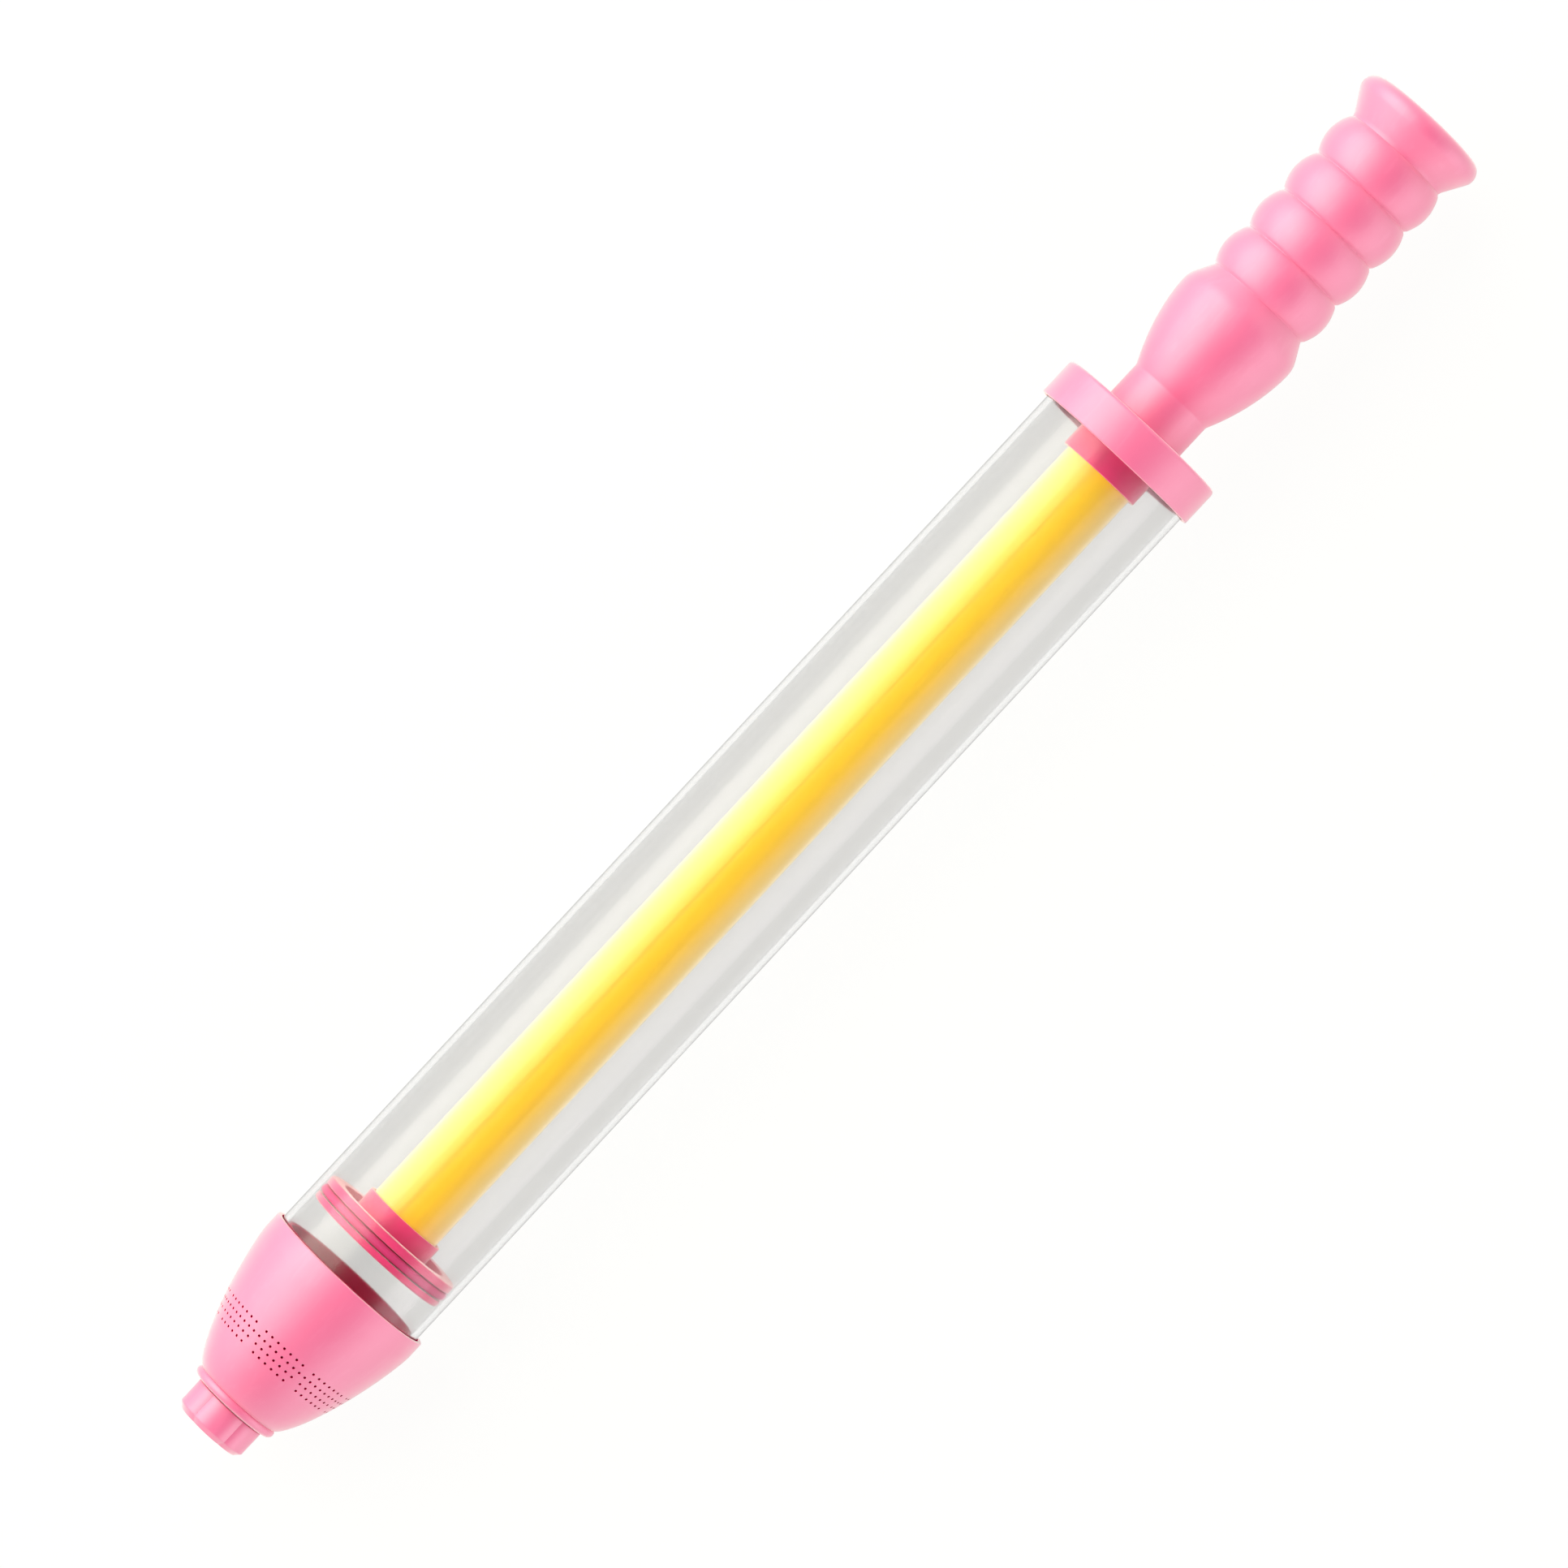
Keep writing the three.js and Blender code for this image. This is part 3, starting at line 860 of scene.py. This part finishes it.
    def profile(self) -> tuple[Array, int]:
        """The cone's closed section.

        Returns:
            Rows of (station, radius), and the index of the first ring of pits.
        """
        front, rim = self.cone.front, self.cone.rear
        seal_seat, seal_floor = self.seal.radius + FIT, self.seal.rear + FIT
        sleeve, inner = self.tube.radius + FIT, self.tube.radius - TUBE_WALL - FIT
        slot = rim - self.socket_depth
        ogive = self.outside_stations()
        chamber = self.inside()
        chain = Profile().corners((front, seal_seat, self.edge))
        chain.through(*self.bead()).through(ogive, self.outer(ogive))
        chain.corners((rim, self.cone.radius, self.rim_edge), (rim, sleeve, self.edge))
        chain.corners((slot, sleeve), (slot, inner))
        chain.corners((rim, inner, self.edge), (rim, inner - self.inner_wall, self.edge))
        chain.through(*chamber).corners((chamber[0][-1], self.stem_hole, self.edge))
        points = chain.corners((seal_floor, self.stem_hole), (seal_floor, seal_seat)).points()
        mouth = self.pit_rings()[0, 0]
        away = points - np.array([mouth, self.outer(mouth)])
        return points, int(np.argmin(np.hypot(*away.T)))

    def row_angles(self, row: PitRow | None) -> Array:
        """Angles of a ring's vertices, two to a cell; a ring of pits gathers its cells round the pits.

        Args:
            row: The row of pits, or None for even cells.

        Returns:
            The angles, sector by sector.
        """
        sector = 2 * math.pi / self.sectors
        pits, pitch = (row.pits, row.pitch) if row else (self.cells, sector / self.cells)
        blanks = self.cells - pits
        blank = (sector - pits * pitch) / blanks if blanks else 0.0
        widths = np.concatenate([np.full(2 * pits, pitch / 2), np.full(2 * blanks, blank / 2)])
        starts = np.concatenate([[0], np.cumsum(widths)[:-1]]) - pits * pitch / 2
        return (starts[None, :] + sector * np.arange(self.sectors)[:, None]).ravel()

    def surface(self) -> Surface:
        """The cone with its pits: each pit opens a 2 by 2 block of faces round an eight-sided hole.

        Returns:
            The closed surface.
        """
        points, first = self.profile()
        angles = np.tile(self.row_angles(None), (len(points), 1))
        middles = first + 1 + len(self.RINGS) * np.arange(len(self.rows))
        for middle, row in zip(middles, self.rows):
            angles[middle + np.array(self.RINGS)] = self.row_angles(row)
        grid = around(points[:, :1], points[:, 1:], angles, self.cone.height).reshape(-1, 3)
        faces = quads(len(points), self.columns, wrap_rows=True)
        kept = np.ones(faces.shape[:2], bool)
        vertices, walls, floors = [grid], [], []
        count = len(grid)
        for middle, row in zip(middles, self.rows):
            cells = np.arange(self.sectors)[:, None] * self.cells + np.arange(row.pits)[None, :]
            column = 2 * cells.ravel() + 1
            kept[middle - 1 : middle + 1, np.concatenate([column - 1, column])] = False
            made, wall, floor = self.pits(points[middle, 0], angles[middle, column], middle, column, count)
            vertices.append(made)
            walls.append(wall)
            floors.append(floor)
            count += len(made)
        # Painted shade: the chamber's inside and every pit's walls and floor take the darker material.
        inside = (points[:, 1] < self.outer(points[:, 0]) - self.wall / 2) & (points[:, 0] > self.seal.rear)
        shade_mask = np.concatenate([np.repeat(inside, self.columns), np.full(count - len(grid), True)])
        loose = [np.concatenate(walls), np.concatenate(floors)]
        return Surface(np.concatenate(vertices), [faces[kept], *loose], shade_mask)

    def pits(
        self, station: float, turns: Array, middle: int, column: Array, offset: int
    ) -> tuple[Array, Array, Array]:
        """Eight-sided pits, each from a rim on the ogive straight down its normal to a floor.

        Args:
            station: The row's station.
            turns: The pits' angles round the axis.
            middle: Index of the ring of vertices through the pits.
            column: Index of the column of vertices through each pit.
            offset: Index that the first new vertex gets.

        Returns:
            The new vertices, the faces of the rims and walls, and the faces of the floors.
        """
        compass = 2 * math.pi * np.arange(self.SIDES) / self.SIDES
        along, across = np.cos(compass), np.sin(compass)
        ring_step, column_step = (np.sign(np.round(side, 6)).astype(int) for side in (along, across))
        beside = (column[:, None] + column_step[None, :]) % self.columns
        border = (middle + ring_step)[None, :] * self.columns + beside
        probe = self.slope_probe
        lean = math.atan((self.outer(station + probe) - self.outer(station - probe)) / (2 * probe))
        width = np.array([1.0, self.pit_taper])[None, :, None] * self.pit_radius
        depth = np.array([0.0, self.pit_depth])[None, :, None]
        edge = station + width * along * math.cos(lean)
        rim = self.outer(edge)
        stations, radii = edge + depth * math.sin(lean), rim - depth * math.cos(lean)
        made = around(stations, radii, turns[:, None, None] + width * across / rim, self.cone.height)
        index = offset + np.arange(made[..., 0].size).reshape(made.shape[:3])
        rims = np.concatenate([border[:, None, :], index], axis=1)
        on = np.roll(rims, -1, axis=2)
        walls = np.stack([rims[:, :-1], on[:, :-1], on[:, 1:], rims[:, 1:]], axis=-1)
        return made.reshape(-1, 3), walls.reshape(-1, 4), index[:, -1]

    def build(self, finishes: Finishes) -> None:
        """Makes and places the cone, and dresses the seals that it hides."""
        nozzle = self.surface().piece("nozzle", finishes.pink, finishes.pink_recess_shade)
        place(nozzle, Body.BARREL, Slot.PINK, "nozzle_cone")
        dress(finishes.gasket, "spout_seal", "cone_gasket")


@dataclass
class Barrel:
    """The clear tube, the rear cap over its end and the bush that guides the rod."""

    tube: Span = span_of("barrel_tube")
    cap: Span = span_of("rear_cap")
    bush: Span = span_of("guide_bush")
    rod: Span = span_of("plunger_rod")
    cap_end_wall: float = 3.0 * MM
    cap_lip: float = 1.2 * MM
    hub_wall: float = 1.8 * MM
    hub_setback: float = 1.0 * MM
    front_round: float = 0.45 * MM
    rear_round: float = 1.3 * MM
    tube_columns: int = 160

    @property
    def rod_hole(self) -> float:
        """Radius of the hole that the rod slides through."""
        return self.rod.radius + FIT

    def cap_profile(self) -> Array:
        """The cap's closed section: sleeve, end wall, lip and hub.

        Returns:
            Rows of (station, radius).
        """
        front, rear, outer = self.cap.front, self.cap.rear, self.cap.radius
        sleeve = self.tube.radius + FIT
        floor, lip = rear - self.cap_end_wall, rear - self.cap_lip
        hub_bore = self.bush.radius + FIT
        hub, hub_front = hub_bore + self.hub_wall, front + self.hub_setback
        return closed(
            (front, sleeve, EDGE), (front, outer, self.front_round), (rear, outer, self.rear_round),
            (rear, self.rod_hole, EDGE), (lip, self.rod_hole), (lip, hub_bore),
            (hub_front, hub_bore, EDGE), (hub_front, hub, EDGE), (floor, hub, EDGE), (floor, sleeve),
        )

    def cap_shade_mask(self, section: Array) -> Array:
        """Marks the section's points between the sleeve and the hub, whose faces take painted shade."""
        deep = within(section[:, 0], self.cap.front + self.hub_setback, self.cap.rear - self.cap_lip)
        return deep & within(section[:, 1], self.bush.radius + 2 * FIT, self.tube.radius + 2 * FIT)

    def build(self, finishes: Finishes) -> None:
        """Makes and places the tube, the cap and the bush."""
        section = pipe(self.tube, self.tube.radius - TUBE_WALL, EDGE, EDGE)
        # The bore takes the darker tint that paints shade into what is seen through the tube.
        bore = section[:, 1] < self.tube.radius - TUBE_WALL / 2
        surface = turned(section, self.tube.height, self.tube_columns, shade_mask=bore)
        tube = surface.piece("clear_tube", finishes.clear, finishes.bore_tint_and_shade)
        tube.visible_shadow = False
        place(tube, Body.BARREL, Slot.CLEAR, "barrel_tube")
        section = self.cap_profile()
        surface = turned(section, self.cap.height, shade_mask=self.cap_shade_mask(section))
        flange = surface.piece("rear_flange", finishes.pink, finishes.pink_recess_shade)
        place(flange, Body.BARREL, Slot.PINK, "rear_cap")
        bush = turned(pipe(self.bush, self.rod_hole, EDGE, 0.0), self.bush.height)
        place(bush.piece("rod_bush", finishes.shaded_pink), Body.BARREL, Slot.SHADED_PINK, "guide_bush")


@dataclass
class Piston:
    """The piston on the rod's front end, with its seal ring and screw."""

    head: Span = span_of("piston_head")
    ring: Span = span_of("piston_seal_ring")
    rod: Span = span_of("plunger_rod")
    ring_section: float = 2.4 * MM
    ring_steps: int = 28
    rear_disc: float = 2.4 * MM
    boss_wall: float = 1.0 * MM
    recess_rim: float = 1.9 * MM
    recess_depth: float = 3.2 * MM
    screw_seat_radius: float = 4.1 * MM
    screw_seat_depth: float = 2.5 * MM
    nose_edge: float = 0.8 * MM
    soft_edge: float = 0.6 * MM

    def head_profile(self) -> Array:
        """The piston's closed section: two discs with a groove between them, and the rod's socket.

        Returns:
            Rows of (station, radius).
        """
        front, rear, outer = self.head.front, self.head.rear, self.head.radius
        groove = self.ring.radius - self.ring_section - FIT
        groove_front, groove_rear = self.ring.front - FIT, self.ring.rear + FIT
        disc_rear = groove_rear + self.rear_disc
        socket, socket_floor = self.rod.radius + FIT, self.rod.front - FIT
        boss = socket + self.boss_wall
        recess, recess_floor = groove - self.recess_rim, front + self.recess_depth
        screw_seat = front + self.screw_seat_depth
        return closed(
            (front, self.screw_seat_radius, EDGE), (front, outer, self.nose_edge),
            (groove_front, outer, EDGE), (groove_front, groove, EDGE), (groove_rear, groove, EDGE),
            (groove_rear, outer, EDGE), (disc_rear, outer, self.soft_edge), (disc_rear, recess, EDGE),
            (recess_floor, recess, self.soft_edge), (recess_floor, boss, self.soft_edge),
            (rear, boss, EDGE), (rear, socket, EDGE), (socket_floor, socket), (socket_floor, SCREW_HOLE),
            (screw_seat, SCREW_HOLE), (screw_seat, self.screw_seat_radius),
        )

    def head_shade_mask(self, section: Array) -> Array:
        """Marks the section's points in the groove and in the recess behind it, whose faces take painted
        shade.
        """
        near = within(section[:, 0], self.ring.front, self.ring.rear + self.rear_disc / 2)
        return near & (section[:, 1] < self.ring.radius - self.ring_section)

    def ring_profile(self) -> Array:
        """The seal ring's round section.

        Returns:
            Rows of (station, radius).
        """
        radius = self.ring_section / 2
        angles = math.pi - 2 * math.pi * np.arange(self.ring_steps) / self.ring_steps
        middle = np.array([(self.ring.front + self.ring.rear) / 2, self.ring.radius - radius])
        return middle + radius * np.stack([np.cos(angles), np.sin(angles)], axis=1)

    def build(self, finishes: Finishes) -> None:
        """Makes and places the piston and its seal ring, and dresses the screw."""
        section = self.head_profile()
        head = turned(section, self.head.height, shade_mask=self.head_shade_mask(section))
        piston = head.piece("piston", finishes.shaded_pink, finishes.piston_recess_shade)
        place(piston, Body.PLUNGER, Slot.SHADED_PINK, "piston_head")
        ring = turned(self.ring_profile(), self.ring.height)
        place(ring.piece("seal", finishes.seal), Body.SEAL_RING, Slot.SEAL, "piston_seal_ring")
        dress(finishes.steel, "piston_screw")


@dataclass
class Rod:
    """The tubular rod, with the plugs that close its ends."""

    rod: Span = span_of("plunger_rod")
    wall: float = 1.6 * MM

    def build(self, finishes: Finishes) -> None:
        """Makes and places the rod, and dresses its plugs."""
        section = pipe(self.rod, self.rod.radius - self.wall, EDGE, EDGE)
        rod = turned(section, self.rod.height).piece("rod", finishes.yellow)
        place(rod, Body.PLUNGER, Slot.YELLOW, "plunger_rod")
        dress(finishes.plug, "rod_plug_front", "rod_plug_rear")


@dataclass
class Grip:
    """The grip: neck, bulb, finger ribs and flared pommel, cored and closed by an end plug."""

    grip: Span = span_of("handle_grip")
    plug: Span = span_of("grip_end_plug")
    rod: Span = span_of("plunger_rod")
    neck_length: float = 10.6 * MM
    neck_wall: float = 1.4 * MM
    neck_edge: float = 0.39 * MM
    neck_round: float = 1.2 * MM
    bulb_radius: float = 19.2 * MM
    bulb_rise: float = 27.4 * MM
    bulb_fall: float = 6.8 * MM
    bulb_steps: int = 24
    ridge_round: float = 8.0 * MM
    ribs: int = 4
    rib_pitch: float = 13.45 * MM
    rib_radius: float = 17.7 * MM
    rib_steps: int = 10
    notch_radius: float = 15.8 * MM
    crease: float = 0.3 * MM
    notch_round: float = 0.2 * MM
    valley: float = 1.0 * MM
    valley_round: float = 2.5 * MM
    pommel_round: float = 3.8 * MM
    pommel_steps: int = 14
    core_wall: float = 2.3 * MM
    web: float = 3.0 * MM
    plug_flange: float = 2.0 * MM
    plug_columns: int = 96
    skirt_wall: float = 1.5 * MM

    def outside(self) -> Profile:
        """The grip's outline from its neck to its end face.

        The bulb rises as a parabola to a rounded ridge and falls as a cone. Each rib is a pair of parabolas.

        Returns:
            The open chain.
        """
        neck = self.rod.radius + FIT + self.neck_wall
        bulb_front = self.grip.front + self.neck_length
        peak = bulb_front + self.bulb_rise
        notch, floor = peak + self.bulb_fall, self.notch_radius - self.crease
        stations, radii = rise((bulb_front, neck), (peak, self.bulb_radius), self.bulb_steps)
        flank = stations < peak - self.ridge_round / 2
        chain = Profile()
        chain.corners((self.grip.front, neck, self.neck_edge), (bulb_front, neck, self.neck_round))
        chain.through(stations[flank], radii[flank])
        chain.corners((peak, self.bulb_radius, self.ridge_round), (notch, floor, self.notch_round))
        for _ in range(self.ribs):
            crest = (notch + self.rib_pitch / 2, self.rib_radius)
            chain.through(*rise((notch, self.notch_radius), crest, self.rib_steps))
            notch += self.rib_pitch
            mirrored = rise((notch, self.notch_radius), crest, self.rib_steps)
            chain.through(*(values[-2::-1] for values in mirrored))
            chain.corners((notch, floor, self.notch_round))
        valley = notch + self.valley
        chain.corners((valley, self.notch_radius, self.valley_round))
        return self.pommel(chain, valley)

    def pommel(self, chain: Profile, valley: float) -> Profile:
        """Adds the flare, a straight line that meets the round of the pommel's edge as its tangent.

        Args:
            chain: The outline up to the valley.
            valley: Station where the flare starts.

        Returns:
            The chain, for chaining.
        """
        centre = np.array([self.grip.rear - self.pommel_round, self.grip.radius - self.pommel_round])
        away = centre - np.array([valley, self.notch_radius])
        slope = math.atan2(away[1], away[0]) + math.asin(self.pommel_round / np.hypot(*away))
        angles = np.linspace(slope + math.pi / 2, 0, self.pommel_steps)
        stations = centre[0] + self.pommel_round * np.cos(angles)
        return chain.through(stations, centre[1] + self.pommel_round * np.sin(angles))

    def profile(self) -> Array:
        """The grip's closed section: outline, plug seat, core, web and the rod's socket.

        Returns:
            Rows of (station, radius).
        """
        socket = self.rod.radius + FIT
        core = self.notch_radius - self.core_wall
        seat, seat_floor = self.plug.radius + FIT, self.grip.rear - self.plug_flange - FIT
        web_front = self.rod.rear + FIT
        web_rear = web_front + self.web
        chain = self.outside()
        chain.corners(
            (self.grip.rear, seat, EDGE), (seat_floor, seat), (seat_floor, core), (web_rear, core),
            (web_rear, SCREW_HOLE), (web_front, SCREW_HOLE), (web_front, socket),
            (self.grip.front, socket, EDGE),
        )
        return chain.points()

    def plug_profile(self) -> Array:
        """The end plug's section from the axis and back to it: a skirt and a flange.

        Returns:
            Rows of (station, radius).
        """
        front, rear, radius = self.plug.front, self.plug.rear, self.plug.radius
        flange = rear - self.plug_flange
        outer = self.notch_radius - self.core_wall - FIT
        inner = outer - self.skirt_wall
        return closed(
            (flange, 0.0), (flange, inner, EDGE), (front, inner, EDGE), (front, outer, EDGE),
            (flange, outer), (flange, radius), (rear, radius, EDGE), (rear, 0.0),
        )

    def build(self, finishes: Finishes) -> None:
        """Makes and places the grip and its end plug, and dresses the screw inside."""
        grip = turned(self.profile(), self.grip.height)
        place(grip.piece("grip", finishes.pink), Body.PLUNGER, Slot.PINK, "handle_grip")
        plug = turned(self.plug_profile(), self.plug.height, self.plug_columns)
        place(plug.piece("end_plug", finishes.pink), Body.PLUNGER, Slot.PINK, "grip_end_plug")
        dress(finishes.steel, "grip_screw")


@dataclass(frozen=True)
class SoftBox:
    """A soft box: its tilt from above towards +Y and its swing towards +X, in degrees, and its light."""

    name: str
    tilt: float
    distance: float
    length: float
    height: float
    radiance: float
    swing: float = 0.0
    colour: Colour = (1.0, 1.0, 1.0)


@dataclass
class Studio:
    """A white floor, soft light from both sides and a camera straight above the barrel."""

    axis_height: float
    roll: float = math.radians(47.054)
    distance: float = 2.5
    view_width: float = 0.4203
    sensor_width: float = 36.0
    sight: float = 20.0
    aim: Pair = (-7.5 * MM, 5.1 * MM)
    stand: Pair = (32.4 * MM, 5.1 * MM)
    floor_size: float = 8.0
    floor_grey: float = 0.03
    floor_glow: float = 0.95
    floor_tint: Colour = (1.0, 1.0, 0.985)
    air_low: float = 1.05
    air_overhead: float = 0.12
    air_fade: Pair = (0.4, 0.75)
    boxes: tuple[SoftBox, ...] = (
        SoftBox("key_box", 52, distance=1.3, length=2.4, height=1.5, radiance=3.65, colour=(1, 0.98, 0.85)),
        SoftBox("fill_box", -71, distance=1.3, length=2.2, height=1.05, radiance=1.62, colour=(1, 0.95, 1)),
        SoftBox("glint_box", 76, distance=1.5, length=0.7, height=0.7, radiance=1.2, swing=42),
    )

    def camera(self) -> None:
        """Sets the camera above the barrel, rolled so that the grip points to the picture's upper right."""
        data = bpy.data.cameras.new("studio_camera")
        data.sensor_width = self.sensor_width
        data.lens = self.sensor_width * self.distance / self.view_width
        data.clip_end = self.sight
        eye = Vector((*self.stand, self.axis_height + self.distance))
        aim = Vector((*self.aim, self.axis_height))
        back = (eye - aim).normalized()
        up = Vector((math.sin(self.roll), math.cos(self.roll), 0.0))
        right = up.cross(back).normalized()
        turn = Matrix((right, back.cross(right), back)).transposed().to_4x4()
        made = bpy.data.objects.new("studio_camera", data)
        made.matrix_world = Matrix.Translation(eye) @ turn
        bpy.context.scene.collection.objects.link(made)
        bpy.context.scene.camera = made

    def floor(self) -> None:
        """Lays the pale floor, which also gives back light from below."""
        half = self.floor_size / 2
        corners = np.array([[-half, -half, 0], [half, -half, 0], [half, half, 0], [-half, half, 0]])
        shader = Shader("studio_floor")
        shader.set(Base_Color=(self.floor_grey, self.floor_grey, self.floor_grey), Roughness=0.9)
        shader.set(Emission_Color=self.floor_tint, Emission_Strength=self.floor_glow)
        Surface(corners, [np.array([[0, 1, 2, 3]])]).piece("studio_floor", shader.material)

    def hang(self, box: SoftBox) -> None:
        """Hangs a soft box that faces the barrel.

        Args:
            box: The soft box.
        """
        data = bpy.data.lights.new(box.name, "AREA")
        data.shape = "RECTANGLE"
        data.size, data.size_y = box.length, box.height
        data.energy = box.radiance * math.pi * box.length * box.height
        data.color = box.colour
        made = bpy.data.objects.new(box.name, data)
        centre = Vector((0, 0, self.axis_height))
        tilt, swing = math.radians(box.tilt), math.radians(box.swing)
        level = math.sin(tilt)
        back = Vector((abs(level) * math.sin(swing), level * math.cos(swing), math.cos(tilt)))
        right = Vector((math.cos(swing), -math.sin(swing), 0))
        turn = Matrix((right, back.cross(right), back)).transposed().to_4x4()
        made.matrix_world = Matrix.Translation(centre + back * box.distance) @ turn
        bpy.context.scene.collection.objects.link(made)

    def air(self) -> None:
        """Fills the room with pale air that fades to a dark ceiling, by the height of the direction."""
        world = bpy.data.worlds.new("studio_air")
        tree = Tree(world)
        height = tree.node("SeparateXYZ", Vector=tree.node("TexCoord").outputs["Generated"]).outputs["Z"]
        start, full = self.air_fade
        ends = {"From_Min": start, "From_Max": full, "To_Min": self.air_low, "To_Max": self.air_overhead}
        fade = tree.node("MapRange", Value=height, **ends)
        fade.interpolation_type = "SMOOTHSTEP"
        tree.end("Background", Color=(1.0, 1.0, 1.0), Strength=fade.outputs["Result"])
        bpy.context.scene.world = world

    def build(self) -> None:
        """Sets up the air, plain colour, the floor, the lights and the camera."""
        self.air()
        bpy.context.scene.view_settings.view_transform = "Standard"
        self.floor()
        for box in self.boxes:
            self.hang(box)
        self.camera()
        LOG.info("studio set")


def main() -> None:
    """Builds the pieces in order, from the spout to the grip, and then the studio."""
    logging.basicConfig(level=logging.INFO, format="%(name)s: %(message)s")
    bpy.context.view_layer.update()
    finishes = Finishes()
    for assembly in (Spout(), NozzleCone(), Barrel(), Piston(), Rod(), Grip()):
        assembly.build(finishes)
    Studio(Span.of("barrel_tube").height).build()


if __name__ == "__main__":
    main()
